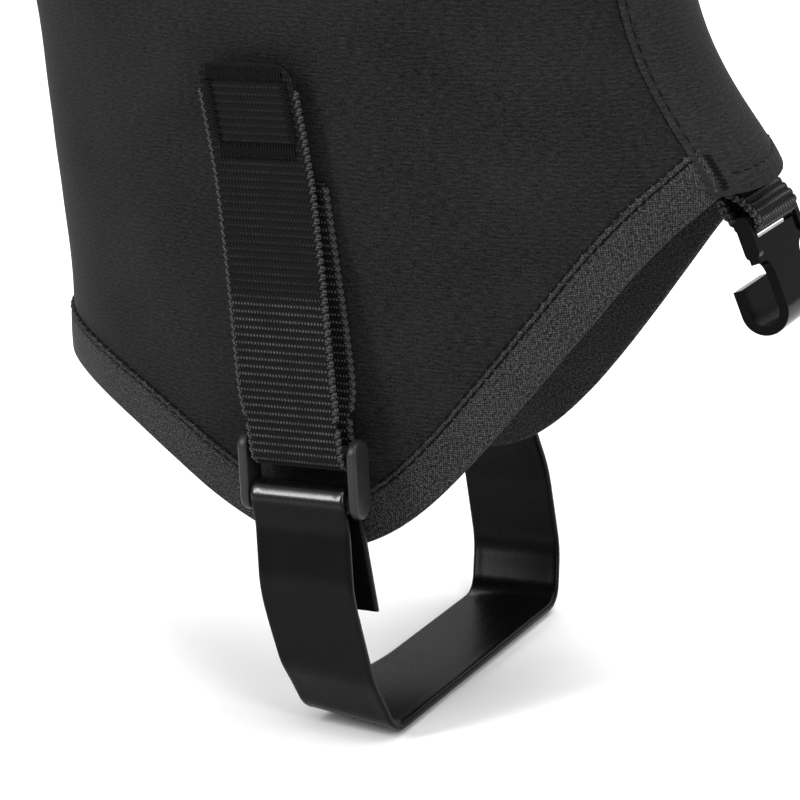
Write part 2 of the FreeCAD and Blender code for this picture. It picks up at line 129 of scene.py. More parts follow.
# ---- curves and noise ----
def spline(xs, ys):
    """Natural cubic curve through the points, as a function of x."""
    count = len(xs)
    gap = np.diff(xs)
    matrix = np.eye(count)
    right = np.zeros(count)
    for i in range(1, count - 1):
        matrix[i, i - 1:i + 2] = gap[i - 1], 2 * (gap[i - 1] + gap[i]), gap[i]
        right[i] = 6 * ((ys[i + 1] - ys[i]) / gap[i] - (ys[i] - ys[i - 1]) / gap[i - 1])
    bend = np.linalg.solve(matrix, right)

    def value(x):
        x = np.clip(x, xs[0], xs[-1])
        i = np.clip(np.searchsorted(xs, x) - 1, 0, count - 2)
        a, b, w = xs[i + 1] - x, x - xs[i], gap[i]
        curve = (bend[i] * a ** 3 + bend[i + 1] * b ** 3) / (6 * w)
        return curve + (ys[i] / w - bend[i] * w / 6) * a + (ys[i + 1] / w - bend[i + 1] * w / 6) * b

    return value


def ramp(x, low, high):
    """0 at low, 1 at high, smooth between."""
    t = np.clip((x - low) / (high - low), 0, 1)
    return t * t * (3 - 2 * t)


def noise(u, v, seed):
    """Smooth random height from -1 to 1, with one new value per unit square."""
    size = 64
    table = np.random.default_rng(seed).uniform(-1, 1, (size, size))
    i, j = np.floor(u).astype(int), np.floor(v).astype(int)
    s, t = ramp(u - i, 0, 1), ramp(v - j, 0, 1)
    i0, i1, j0, j1 = i % size, (i + 1) % size, j % size, (j + 1) % size
    low = table[i0, j0] * (1 - s) + table[i1, j0] * s
    high = table[i0, j1] * (1 - s) + table[i1, j1] * s
    return low * (1 - t) + high * t


def rolled(distance, radius):
    """0 at an edge and 1 from radius inwards, with a round shoulder."""
    inside = np.clip(distance / radius, 0, 1)
    return np.sqrt(1 - (1 - inside) ** 2)


def steps(low, high, pitch, edge=0.0):
    """Places from low to high, about pitch apart, and closer together over a rolled edge."""
    count = max(2, round((high - low) / pitch))
    even = np.linspace(low, high, count + 1)
    if not edge:
        return even
    near = edge * (1 - np.cos(np.linspace(0, math.pi / 2, 5)))
    inner = even[(even > low + 1.4 * edge) & (even < high - 1.4 * edge)]
    return np.concatenate([low + near, inner, high - near[::-1]])


def run_along(points):
    """Distance along a line of points, at each point."""
    return np.concatenate([[0], np.cumsum(np.linalg.norm(np.diff(points, axis=0), axis=1))])


def level(u, v):
    """Flat points along u, all at the same v."""
    return np.stack([u, v + 0 * u], 1)


def rectangle(us, vs, inset, count):
    """Closed row of flat points inside the edges of a piece of cloth."""
    u0, u1, v0, v1 = us[0] + inset, us[-1] - inset, vs[0] + inset, vs[-1] - inset
    corners = np.array([(u0, v0), (u1, v0), (u1, v1), (u0, v1), (u0, v0)])
    return np.concatenate([np.linspace(a, b, count) for a, b in zip(corners[:-1], corners[1:])])


def bell(x, centre, width):
    """1 at the centre, falling to 0 over a width."""
    return np.exp(-((x - centre) / width) ** 2)


def puckers(along, distance, reach):
    """Small puckers between the stitches of a row, fading away from it."""
    return 0.10 * np.cos(2 * math.pi * along / STITCH) * np.exp(-distance / reach)


# ---- the leg shape ----
front_reach = spline(SECTIONS[:, 0], SECTIONS[:, 1])
back_reach = spline(SECTIONS[:, 0], SECTIONS[:, 2])
half_width = spline(SECTIONS[:, 0], SECTIONS[:, 3])
FLAT_Z = 210.0
_turn = np.linspace(-math.pi, 3 * math.pi, 2881)
_oval = np.stack([
    np.where(np.cos(_turn) >= 0, front_reach(FLAT_Z), back_reach(FLAT_Z)) * np.cos(_turn),
    half_width(FLAT_Z) * np.sin(_turn),
])
_run = np.concatenate([[0], np.cumsum(np.hypot(*np.diff(_oval)))])
_run -= np.interp(0, _turn, _run)


def girth(angle):
    """Distance round the cloth from the middle of the front, for an angle about the leg."""
    return np.interp(angle, _turn, _run)


def angle_at(u):
    """The angle at which the cloth's distance round the leg is u."""
    return np.interp(u, _run, _turn)


def folds(angle, z):
    """Height of the soft creases in the cloth."""
    u = girth(angle)
    back, inner = np.clip(-np.cos(angle), 0, 1), np.clip(np.sin(angle), 0, 1)
    outer = np.clip(-np.sin(angle), 0, 1)
    ankle = ramp(z, 60, 110) * ramp(z, 260, 170)
    creases = 0.95 * noise(u / 60 + z / 140, z / 21 - u / 90, 5) * ankle * (0.25 + 0.75 * back)
    slack = 1.1 * noise(u / 34 + 0.15 * np.sin(z / 40), z / 110, 11) * inner * ramp(z, 400, 330)
    ripples = 0.34 * noise(u / 42, z / 11 + u / 170, 17) * outer * ramp(z, 70, 95) * ramp(z, 240, 150)
    calf = 0.5 * noise(u / 46, z / 95, 23) * ramp(z, 190, 260) * ramp(z, 404, 370)
    x = np.cos(angle) * 80
    free = 1 - outer * ramp(x, -34, -22) * ramp(x, 36, 24) * ramp(z, 185, 168)
    front = 1 - 0.8 * ramp(np.cos(angle), 0.8, 0.93)
    return (creases + slack + ripples + calf) * free * front * ramp(z, 412, 392)


def wall(angle, z, h):
    """Point h outside the leg shape."""
    h = h + folds(angle, z)
    reach = np.where(np.cos(angle) >= 0, front_reach(z), back_reach(z)) + h
    return np.stack([reach * np.cos(angle), (half_width(z) + h) * np.sin(angle), z + 0 * h], -1)


def round_leg(u, v, h):
    """Flat coordinates: u round the leg, v up."""
    return wall(angle_at(u), v, h)


def front_strip(u, v, h):
    """Flat coordinates on the front: u is Y, v is up."""
    return wall(np.arcsin(np.clip(u / half_width(v), -1, 1)), v, h)


# ---- the hem line round the leg ----
def raised(line, distance):
    """The line moved sideways by a distance, upwards for a line that runs forwards."""
    ahead = np.gradient(line, axis=0)
    ahead[1:-1] = line[2:] - line[:-2]
    ahead /= np.linalg.norm(ahead, axis=1)[:, None]
    return line + distance * np.stack([-ahead[:, 1], ahead[:, 0]], 1)


def line_height(line):
    """Function giving the height at which each angle crosses a line drawn in side view."""
    curve = spline(line[:, 0], line[:, 1])

    def height(angle):
        low, high = np.full(np.shape(angle), 30.0), np.full(np.shape(angle), 170.0)
        for _ in range(36):
            z = (low + high) / 2
            reach = np.where(np.cos(angle) >= 0, front_reach(z), back_reach(z))
            above = z > curve(reach * np.cos(angle))
            high, low = np.where(above, z, high), np.where(above, low, z)
        return (low + high) / 2

    return height


hem_low = line_height(HEM_LINE)
hem_high = line_height(raised(HEM_LINE, HEM_WIDTH))


def slit_angles(z):
    """The two cut edges of the fabric tube, both under the placket."""
    start = np.arcsin(UNDERLAP_Y / half_width(z))
    return start, 2 * math.pi + np.arcsin(PANEL_EDGE_Y / half_width(z))


# ---- meshes ----
SWING_JOINT = next(j for j in frame["joints"] if j["name"] == "strap_swing")


def tilted(points, centre, angle):
    """Points turned about the Y axis through centre."""
    x, z = points[..., 0] - centre[0], points[..., 2] - centre[2]
    c, s = math.cos(angle), math.sin(angle)
    turned = np.array(points, float)
    turned[..., 0] = centre[0] + x * c + z * s
    turned[..., 2] = centre[2] - x * s + z * c
    return turned


SHIFT = np.array(SWING_JOINT["pos_m"]) * 1000 - tilted(TOP_BAR, RING, -RING_TURN)


def metres(points):
    """Leg frame millimetres to the shared frame's metres."""
    return (np.asarray(points, float) + SHIFT) / 1000


def new_object(name, data):
    thing = bpy.data.objects.new(name, data)
    bpy.context.scene.collection.objects.link(thing)
    return thing


def new_piece(name, vertices, faces, weave, material):
    """Mesh object that carries its flat cloth coordinates for the material."""
    mesh = bpy.data.meshes.new(name)
    mesh.from_pydata(metres(vertices).tolist(), [], faces)
    attribute = mesh.attributes.new("weave", "FLOAT_VECTOR", "POINT")
    attribute.data.foreach_set("vector", np.asarray(weave, np.float32).ravel())
    shape = bmesh.new()
    shape.from_mesh(mesh)
    bmesh.ops.recalc_face_normals(shape, faces=shape.faces)
    shape.to_mesh(mesh)
    shape.free()
    mesh.shade_smooth()
    mesh.materials.append(MATERIALS[material])
    return new_object(name, mesh)


def slab(name, place, u, v, faces, share, material, middle=None, weave=None):
    """Closed piece of cloth over a grid u, v. faces are the heights of its outer and inner face,
    which come together to a middle height where share falls to 0."""
    if middle is None:
        middle = (faces[0] + faces[1]) / 2
    upper, lower = (place(u, v, middle + share * (face - middle)).reshape(-1, 3) for face in faces)
    rows, columns = u.shape
    edge = np.ones(u.shape, bool)
    edge[1:-1, 1:-1] = False
    index = np.arange(rows * columns).reshape(rows, columns)
    under = index.copy()
    under[~edge] = rows * columns + np.arange((~edge).sum())
    faces = []
    for grid, order in ((index, (0, 1, 2, 3)), (under, (3, 2, 1, 0))):
        corners = (grid[:-1, :-1], grid[1:, :-1], grid[1:, 1:], grid[:-1, 1:])
        faces += np.stack([corners[k] for k in order], -1).reshape(-1, 4).tolist()
    flat = np.stack(weave or (u, v, 0 * u), -1).reshape(-1, 3)
    vertices = np.concatenate([upper, lower[~edge.ravel()]])
    return new_piece(name, vertices, faces, np.concatenate([flat, flat[~edge.ravel()]]), material)


def from_edge(u, v, us, vs):
    """Distance to the nearest edge of a rectangle of cloth."""
    return np.minimum(np.minimum(u - us[0], us[-1] - u), np.minimum(v - vs[0], vs[-1] - v))


def cloth_grid(us, vs, radius):
    """u and v over a rectangle of cloth, and a share that falls to 0 over its rolled edge."""
    u, v = np.meshgrid(us, vs, indexing="ij")
    return u, v, rolled(from_edge(u, v, us, vs), radius)


def threads(name, place, u, v, h, radii, material="thread", sides=6):
    """Round threads laid h over the cloth. u, v and h are (thread, point), radii one per point."""
    centres = place(u, v, h)
    normals = place(u, v, h + 1) - centres
    ahead = np.gradient(centres, axis=1)
    ahead /= np.linalg.norm(ahead, axis=2)[..., None]
    across = np.cross(ahead, normals)
    across /= np.linalg.norm(across, axis=2)[..., None]
    upright = np.cross(across, ahead)
    turn = np.linspace(0, 2 * math.pi, sides, endpoint=False)
    ring = across[:, :, None] * np.cos(turn)[:, None] + upright[:, :, None] * np.sin(turn)[:, None]
    vertices = centres[:, :, None] + ring * np.asarray(radii)[..., None, None]
    count, points = u.shape
    index = np.arange(count * points * sides).reshape(count, points, sides)
    after = np.roll(index, -1, axis=2)
    quads = np.stack([index[:, :-1], after[:, :-1], after[:, 1:], index[:, 1:]], -1)
    faces = quads.reshape(-1, 4).tolist() + index[:, 0].tolist() + index[:, -1, ::-1].tolist()
    along = np.cumsum(np.linalg.norm(np.diff(centres, axis=1, prepend=centres[:, :1]), axis=2), axis=1)
    flat = np.broadcast_to(along[:, :, None], (count, points, sides))
    round_it = np.broadcast_to(turn, (count, points, sides))
    weave = np.stack([flat, round_it, 0 * flat], -1).reshape(-1, 3)
    return new_piece(name, vertices.reshape(-1, 3), faces, weave, material)


def stitch_row(name, place, line, surface, pitch=STITCH, fill=0.78, radius=THREAD_R, sink=0.16):
    """Row of sewn stitches along a line of flat points, each arched over the cloth surface."""
    line = np.asarray(line, float)
    run = run_along(line)
    count = max(1, int(run[-1] / pitch))
    starts = (np.arange(count) + (1 - fill) / 2) * run[-1] / count
    t = np.linspace(0, 1, 6)
    along = starts[:, None] + t * fill * run[-1] / count
    u, v = np.interp(along, run, line[:, 0]), np.interp(along, run, line[:, 1])
    arch = np.sin(math.pi * t) ** 0.6
    h = surface(u, v) - sink + arch * (sink + radius * 0.55)
    return threads(name, place, u, v, h, radius * (0.7 + 0.3 * arch))


# ---- ribbons: webbing and strap along a path ----
def rounded_path(points, radii, step=0.25):
    """Even points along straight runs and tangent arcs."""
    points = [np.array(p, float) for p in points]
    dense = [points[0]]
    for corner, after, radius in zip(points[1:-1], points[2:], radii):
        back = dense[-1] - corner
        back /= np.linalg.norm(back)
        ahead = (after - corner) / np.linalg.norm(after - corner)
        half = math.acos(np.clip(back @ ahead, -1, 1)) / 2
        middle = (back + ahead) / np.linalg.norm(back + ahead)
        centre = corner + middle * radius / math.sin(half)
        a, b = corner + back * radius / math.tan(half), corner + ahead * radius / math.tan(half)
        sweep = math.pi - 2 * half
        for t in np.linspace(0, 1, max(3, int(sweep * radius / step))):
            p = (a - centre) * math.sin((1 - t) * sweep) + (b - centre) * math.sin(t * sweep)
            dense.append(centre + p / math.sin(sweep))
    dense.append(points[-1])
    dense = np.array(dense)
    run = run_along(dense)
    keep = np.concatenate([[True], np.diff(run) > 1e-6])
    run, dense = run[keep], dense[keep]
    even = np.linspace(0, run[-1], int(run[-1] / step) + 1)
    return np.stack([np.interp(even, run, dense[:, k]) for k in range(dense.shape[1])], 1)


def ribbon_place(path, to_leg):
    """place(u, v, h) for a ribbon: u along the path, v across it, h off its face."""
    run = run_along(path)
    ahead = np.gradient(path, axis=0)
    ahead /= np.linalg.norm(ahead, axis=1)[:, None]
    normal = np.stack([-ahead[:, 1], ahead[:, 0]], 1)

    def place(u, v, h):
        p = [np.interp(u, run, path[:, k]) + h * np.interp(u, run, normal[:, k]) for k in range(2)]
        return to_leg(p[0], p[1], v)

    return place, run[-1]


def leaning(bar, lean):
    """From a (y, z) plane and a distance across, to the leaning strips of the ankle."""
    def to_leg(y, z, across):
        flat = np.stack([np.full(np.shape(y), bar[0]), y, z], -1)
        leaned = tilted(flat, bar, -lean)
        leaned[..., 0] += across
        return tilted(leaned, RING, -RING_TURN)
    return to_leg


def rib_height(u, v, width):
    """Cross ribs of woven webbing, fading into its selvedges."""
    wave = 0.5 + 0.5 * np.cos(2 * math.pi * u / RIB)
    return 0.36 * (wave ** 0.7 - 0.5) * ramp(width / 2 - np.abs(v), 0.6, 1.9)


def webbing(name, place, length, width=WEBBING_WIDTH, thick=WEBBING_THICK, phase=0.0, corner=0.0,
            dot_fade=None, yarn="webbing"):
    """Ribbed webbing with looped selvedges, and optional rounded corners at its far end.
    phase is the run of webbing before its start, so that two pieces can carry on the same ribs."""
    us = steps(0, length, RIB / 7, 0.5)
    vs = steps(-width / 2, width / 2, 0.9, 0.7)
    u, v, share = cloth_grid(us, vs, 0.7)
    if corner:
        depth = np.clip(u - (length - corner), 0, corner)
        v = v * (1 - (corner - np.sqrt(corner ** 2 - depth ** 2)) / (width / 2))
    ribs = rib_height(u + phase, v, width)
    faces = thick / 2 + ribs, ribs * 0.6 - thick / 2
    # the third weave value fades the painted sheen dots
    weave = u + phase, v, dot_fade(u) if dot_fade else 0 * u
    piece = slab(name, place, u, v, faces, share, yarn, 0.0, weave)
    loops = selvedge(name + "_selvedge", place, length - max(corner, 0.6), width, phase)
    return piece, loops


def selvedge(name, place, end, width, phase):
    """One slanted thread loop per rib along both edges of a webbing."""
    ribs = np.arange(math.ceil((phase + 1.2) / RIB), int((phase + end) / RIB)) * RIB - phase
    t = np.linspace(0, 1, 7)
    u = ribs[:, None] + RIB * (1.05 * t - 0.55)
    rows = []
    for side in (-1, 1):
        v = side * (width / 2 - 1.35 + 1.5 * np.sin(math.pi * (0.16 + 0.62 * t)) + 0 * u)
        rows += [(u, v, face * (0.62 - 0.55 * t ** 1.6) + 0 * u) for face in (1, -1)]
    u, v, h = (np.concatenate(flat) for flat in zip(*rows))
    return threads(name, place, u, v, h, 0.44 * (0.6 + 0.4 * np.sin(math.pi * t)), "selvedge")


def attach(pieces, body, replaces=(), onto=None, start=None, end=None):
    """Lets pieces ride on a body; pieces given a next body only have their transform baked. The CAD nodes
    they replace are hidden."""
    for piece in pieces:
        if onto:
            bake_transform(piece)
            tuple(start)
            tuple(end)
        else:
            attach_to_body(piece, body)
    if replaces:
        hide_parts(*replaces)


# ---- materials ----
class Shader:
    """A principled material with a few short ways to add nodes."""

    def __init__(self, name, **sockets):
        self.material = bpy.data.materials.new(name)
        self.material.use_nodes = True
        self.nodes = self.material.node_tree.nodes
        self.links = self.material.node_tree.links
        self.surface = self.nodes["Principled BSDF"]
        for socket, value in sockets.items():
            self.surface.inputs[socket.replace("_", " ")].default_value = value

    def put(self, socket, value):
        """Value or link into a node's input."""
        if isinstance(value, bpy.types.NodeSocket):
            self.links.new(value, socket)
        else:
            socket.default_value = value

    def node(self, kind, values, output=0):
        """New node with values or links in its inputs, and one of its outputs."""
        node = self.nodes.new("ShaderNode" + kind)
        for key, value in values.items():
            self.put(node.inputs[key], value)
        return node.outputs[output]

    def math(self, operation, a, b=0.0, c=0.0, kind="Math"):
        result = self.node(kind, {0: a, 1: b, 2: c})
        result.node.operation = operation
        return result

    def times(self, a, b, plus=0.0):
        return self.math("MULTIPLY_ADD", a, b, plus)

    def wave(self, value, pitch, phase=0.0):
        """0 to 1, one crest per pitch."""
        turn = self.times(value, 2 * math.pi / pitch, phase)
        return self.times(self.math("COSINE", turn), 0.5, 0.5)

    def weave(self):
        """Flat cloth coordinates in millimetres, and a third value: on webbing how much fainter its painted
        sheen dots are, on the strap how polished it is there.
        """
        vector = self.node("Attribute", {}, "Vector")
        vector.node.attribute_name = "weave"
        return vector

    def solid(self):
        """The piece's own coordinates in millimetres."""
        return self.scaled(self.node("TexCoord", {}, "Object"), (1000, 1000, 1000))

    def scaled(self, vector, factors):
        return self.math("MULTIPLY", vector, factors, (0, 0, 0), "VectorMath")

    def split(self, vector):
        return self.node("SeparateXYZ", {0: vector}).node.outputs

    def noise(self, vector, scale, detail=2.0, stretch=None):
        vector = self.scaled(vector, stretch) if stretch else vector
        return self.node("TexNoise", {"Scale": scale, "Detail": detail, "Vector": vector}, "Fac")

    def patches(self, vector, scale, detail, stretch=None):
        """Noise with more contrast."""
        return self.spread(self.noise(vector, scale, detail, stretch), 0, 1)

    def wobbled(self, vector, scale, shift):
        """The three parts of a vector, moved about by noise of that scale."""
        coloured = self.noise(vector, scale).node.outputs["Color"]
        moved = self.math("ADD", vector, self.scaled(coloured, shift), (0, 0, 0), "VectorMath")
        return self.split(moved)

    def checks(self, warp, weft):
        """1 where both yarns crest or both dip, and 0 where only one does."""
        unders = self.times(self.math("SUBTRACT", 1.0, warp), self.math("SUBTRACT", 1.0, weft))
        return self.times(warp, weft, unders)

    def spread(self, value, low, high):
        """A value around 0.5 brought to a range, with more contrast."""
        limits = {"From Min": 0.25, "From Max": 0.75, "To Min": low, "To Max": high}
        return self.node("MapRange", {"Value": value, **limits})

    def mixture(self, *parts):
        """Weighted sum of values, clamped to 0..1."""
        total = 0.0
        for value, weight in parts:
            total = self.times(value, weight, total)
        total.node.use_clamp = True
        return total

    def colour(self, share, dark, light, warmth=0.0):
        """Grey between dark and light, the light end a little warm if asked."""
        node = self.nodes.new("ShaderNodeMix")
        node.data_type = "RGBA"
        self.put(node.inputs["Factor"], share)
        node.inputs["A"].default_value = (dark, dark, dark, 1)
        node.inputs["B"].default_value = (light * (1 + warmth), light, light * (1 - warmth), 1)
        self.links.new(node.outputs["Result"], self.surface.inputs["Base Color"])

    def rough(self, value, low, high):
        self.links.new(self.spread(value, low, high), self.surface.inputs["Roughness"])

    def finished(self, height, depth):
        """The material, with the bump of a height from 0 to 1 and a depth in millimetres."""
        bumped = self.node("Bump", {"Strength": 1.0, "Distance": depth / 1000, "Height": height})
        self.links.new(bumped, self.surface.inputs["Normal"])
        return self.material


def softshell(name, dark, light):
    """Smooth-faced stretch cloth: wavy rows broken into short dashes, fine grain, slow cloudy tone."""
    shader = Shader(name, Sheen_Weight=0.01, Sheen_Roughness=0.5, Specular_IOR_Level=0.08)
    flat = shader.weave()
    _, v, _ = shader.wobbled(flat, 0.30, (0, 0.9, 0))
    rows = shader.wave(v, 1.12)
    dashes = shader.patches(flat, 1.0, 2, (0.6, 2.4, 1))
    grain = shader.patches(flat, 2.6, 1)
    cloud = shader.patches(flat, 0.035, 3)
    broken = shader.times(rows, dashes)
    tone = shader.mixture((broken, 0.25), (dashes, 0.60), (grain, 0.75), (cloud, 0.25), (1.0, -0.38))
    shader.colour(tone, dark, light)
    shader.rough(grain, 0.62, 0.82)
    return shader.finished(shader.mixture((broken, 0.3), (dashes, 0.2), (grain, 0.5)), 0.06)


def oxford(name, dark, light, pitch):
    """Coarse plain weave: light crossings scattered over dark ones, uneven from yarn to yarn."""
    shader = Shader(name, Sheen_Weight=0.01, Sheen_Roughness=0.5, Specular_IOR_Level=0.08)
    flat = shader.weave()
    u, v, _ = shader.wobbled(flat, 0.5, (0.5, 0.5, 0))
    checks = shader.checks(shader.wave(u, pitch), shader.wave(v, pitch))
    yarns = shader.patches(flat, 1.6, 1)
    streaks = shader.patches(flat, 1.0, 2, (0.25, 1.4, 1))
    cloud = shader.patches(flat, 0.05, 2)
    lit = shader.times(checks, shader.times(yarns, 1.5, 0.05))
    sharp = shader.math("POWER", lit, 1.6)
    tone = shader.mixture((sharp, 0.8), (yarns, 0.16), (streaks, 0.08), (cloud, 0.08), (1.0, -0.07))
    shader.colour(tone, dark, light)
    shader.rough(yarns, 0.5, 0.8)
    return shader.finished(shader.mixture((checks, 0.8), (yarns, 0.3)), 0.16)


def elastic_material(name, dark, light, pitch):
    """Ribbed elastic: a fine plain weave with grain and faint rows along it."""
    shader = Shader(name, Sheen_Weight=0.04, Sheen_Roughness=0.45, Specular_IOR_Level=0.35)
    flat = shader.weave()
    u, v, _ = shader.wobbled(flat, 0.55, (0.5 * pitch, 0.5 * pitch, 0))
    checks = shader.checks(shader.wave(u, pitch), shader.wave(v, pitch * 0.92))
    grain = shader.noise(flat, 2.4, 3)
    rows = shader.noise(flat, 1.0, 3, (0.16, 0.85, 1))
    cloud = shader.noise(flat, 0.03, 2)
    tone = shader.mixture((checks, 0.9), (grain, 0.9), (rows, 0.6), (cloud, 0.8), (1.0, -1.1))
    shader.colour(tone, dark, light)
    shader.rough(grain, 0.6, 0.85)
    return shader.finished(shader.mixture((checks, 0.5), (grain, 0.35), (rows, 0.3)), 0.2)


def webbing_material(name, pitch, light):
    """Ribs carry rows of small floats whose sheen is painted into the colour as bright dots, with a finer
    criss-cross of dark yarn between them.
    """
    shader = Shader(name, Specular_IOR_Level=0.07)
    flat = shader.weave()
    dot_fade = shader.split(flat)[2]
    u, v, _ = shader.wobbled(flat, 0.7, (0.3, 0.4, 0))
    crest = shader.wave(u, RIB)
    floats = shader.wave(v, pitch)
    between = shader.times(shader.wave(v, pitch, math.pi), shader.wave(u, RIB, math.pi))
    grain = shader.patches(flat, 3.0, 2)
    patch = shader.patches(flat, 0.16, 2)
    dots = shader.times(shader.math("POWER", floats, 1.4), shader.math("POWER", crest, 4.0))
    uneven = shader.times(dots, shader.times(patch, 0.7, 0.45))
    # painted sheen: the bright float dots, three quarters fainter where the third weave value is 1
    painted_dot_sheen = shader.times(uneven, shader.times(dot_fade, -0.75, 1.0))
    tone = shader.mixture((painted_dot_sheen, 0.95), (between, 0.05), (grain, 0.09), (1.0, -0.04))
    shader.colour(tone, 0.0012, light)
    shader.rough(grain, 0.5, 0.75)
    return shader.finished(shader.mixture((dots, 0.7), (between, 0.4), (grain, 0.2)), 0.2)


def thread_material(name, dark, light, gloss):
    """Twisted thread, with painted sheen along the crests of its twist, which are also bumped."""
    shader = Shader(name, Specular_IOR_Level=gloss)
    u, v, _ = shader.split(shader.weave())
    twist = shader.math("SINE", shader.times(u, 9.0, v))
    lift = shader.times(twist, 0.5, 0.5)
    # painted sheen: lighter colour along the twist crests
    shader.colour(lift, dark, light)
    shader.rough(lift, 0.45, 0.65)
    return shader.finished(lift, 0.05)


def strap_material():
    """Smooth satin elastomer, with faint rub marks along it, polished where it bends round the ring."""
    shader = Shader("strap_elastomer", Specular_IOR_Level=0.10, Coat_Roughness=0.22)
    flat = shader.weave()
    shader.links.new(shader.split(flat)[2], shader.surface.inputs["Coat Weight"])
    rubs = shader.noise(flat, 1.0, 3, (0.06, 0.5, 1))
    grain = shader.noise(flat, 1.8, 3)
    patch = shader.patches(flat, 0.06, 2)
    shader.colour(shader.mixture((rubs, 0.3), (patch, 0.3), (grain, 0.4)), 0.001, 0.005)
    shader.rough(shader.mixture((rubs, 0.4), (grain, 0.6)), 0.24, 0.30)
    return shader.finished(grain, 0.006)


def plastic(name, dark, light, rough, grain_depth, gloss):
    """Moulded plastic with a fine eroded texture and slight scuffs."""
    shader = Shader(name, Specular_IOR_Level=gloss)
    flat = shader.solid()
    grain = shader.noise(flat, 3.2, 3)
    flow = shader.noise(flat, 0.16, 3)
    scuffs = shader.noise(flat, 0.9, 4, (1, 0.2, 1))
    shader.colour(shader.mixture((flow, 0.9), (scuffs, 0.35), (grain, 0.2), (1.0, -0.22)), dark, light)
    shader.rough(shader.mixture((scuffs, 0.5), (flow, 0.3), (grain, 0.2)), *rough)
    return shader.finished(shader.mixture((grain, 0.8), (scuffs, 0.2)), grain_depth)


def steel_material():
    shader = Shader("blackened_steel", Metallic=1.0, Specular_IOR_Level=0.5)
    flat = shader.solid()
    brushed = shader.noise(flat, 2.0, 4, (1, 1, 0.12))
    wear = shader.noise(flat, 0.5, 3)
    shader.colour(shader.mixture((brushed, 0.6), (wear, 0.8), (1.0, -0.2)), 0.09, 0.34, 0.02)
    shader.rough(shader.mixture((brushed, 0.5), (wear, 0.5)), 0.24, 0.46)
    return shader.finished(brushed, 0.02)


def pile_material(name, dark, light, scale, depth):
    """Hook or loop pile: small tufts in rows."""
    shader = Shader(name, Sheen_Weight=0.04, Sheen_Roughness=0.5, Specular_IOR_Level=0.25)
    flat = shader.weave()
    distance = shader.node("TexVoronoi", {"Scale": scale, "Randomness": 0.55, "Vector": flat}, "Distance")
    tufts = shader.math("SUBTRACT", 1.0, distance)
    grain = shader.noise(flat, 3.0, 3)
    shader.colour(shader.mixture((tufts, 0.9), (grain, 0.5), (1.0, -0.6)), dark, light)
    shader.rough(grain, 0.6, 0.9)
    return shader.finished(shader.mixture((tufts, 0.8), (grain, 0.2)), depth)


MATERIALS = {
    "shell": softshell("shell_softshell", 0.001, 0.022),
    # painted light: the placket is the same softshell as the shell, made lighter for the brighter light near
    # the front seam
    "placket": softshell("placket_softshell_painted_light", 0.005, 0.029),
    "hem": oxford("hem_oxford", 0.002, 0.085, 0.75),
    "elastic": elastic_material("cuff_elastic", 0.01, 0.05, 1.3),
    "webbing": webbing_material("webbing_yarn", FLOAT_PITCH, 0.115),
    "loop_webbing": webbing_material("loop_webbing_yarn", 1.7, 0.14),
    "thread": thread_material("sewing_thread", 0.001, 0.005, 0.08),
    "selvedge": thread_material("selvedge_yarn", 0.006, 0.075, 0.12),
    "strap": strap_material(),
    "ring": plastic("ring_plastic", 0.009, 0.021, (0.30, 0.42), 0.02, 0.28),
    "hook": plastic("hook_plastic", 0.001, 0.003, (0.10, 0.20), 0.008, 0.045),
    "steel": steel_material(),
    "hook_pile": pile_material("hook_pile", 0.005, 0.035, 1.1, 0.5),
    "loop_pile": pile_material("loop_pile", 0.006, 0.032, 1.9, 0.4),
}


# ---- fabric body ----
def constant(value):
    """Height function with one value."""
    def height(u, v):
        return value + 0 * u
    return height


def body_panel():
    """The softshell tube, open at the front under the placket, from the hem seam to the cuff."""
    columns = np.concatenate([[0, 0.0006], np.linspace(0.004, 0.996, 250), [0.9994, 1]])
    t = np.concatenate([[0, 0.0008], np.linspace(0.006, 0.994, 170), [0.9992, 1]])
    low = np.full(len(columns), FLAT_Z)
    for _ in range(5):
        start, end = (girth(a) for a in slit_angles(low))
        low = hem_high(angle_at(start + (end - start) * columns)) - 2.4
    v = low[:, None] + (CUFF_Z + 2 - low[:, None]) * t
    angles = slit_angles(v)
    u = girth(angles[0]) + (girth(angles[1]) - girth(angles[0])) * columns[:, None]
    share = np.minimum(rolled(columns, 0.0006)[:, None], rolled(t, 0.0008))
    share *= np.minimum(rolled(1 - columns, 0.0006)[:, None], rolled(1 - t, 0.0008))
    pucker = puckers(u, v - low[:, None], 4)
    piece = slab("body_panel", round_leg, u, v, (pucker, -0.9), share, "shell", -0.45)
    attach([piece], "gaiter", ["main_body_panel"])
    return piece


def hem_frame():
    """Angles at even distances along the hem, and the run of the hem at each."""
    low, high = slit_angles(HEM_FRONT_Z)
    angle = np.linspace(low, high, 3000)
    edge = wall(angle, hem_low(angle), 0.0)
    run = run_along(edge)
    return angle, run


HEM_ANGLE, HEM_RUN = hem_frame()


def hem_place(u, v, h):
    """Flat coordinates of the hem band: u along its lower edge, v up across it."""
    angle = np.interp(u, HEM_RUN, HEM_ANGLE)
    low, high = hem_low(angle), hem_high(angle)
    return wall(angle, low + (high - low) * v / HEM_WIDTH, h)


def hem_top(u, v):
    """Outer face of the band: flat, a sewn groove, then the low ridge of the folded seam allowance."""
    crown = 0.62 + 0.14 * np.sin(math.pi * np.clip(v / 9.8, 0, 1))
    groove = -0.50 * bell(v, HEM_GROOVE, 0.34)
    ridge = 0.16 * np.exp(-((v - HEM_RIDGE) / 0.42) ** 4)
    knots = 0.5 + 0.5 * np.cos(2 * math.pi * u / STITCH + 1.2 * (v - 11))
    pucker = puckers(u, np.abs(v - 9.8), 1.6)
    waves = 0.22 * noise(u / 13, v / 30, 31)
    return crown + groove + ridge * (0.5 + knots) + pucker + waves - 0.8 * ramp(v, 11.35, 12.0)


def hem_bottom(u, v):
    """Inner face of the band."""
    return -0.95 - 0.12 * np.sin(math.pi * np.clip(v / 12, 0, 1)) + 0.22 * noise(u / 13, v / 30, 31)


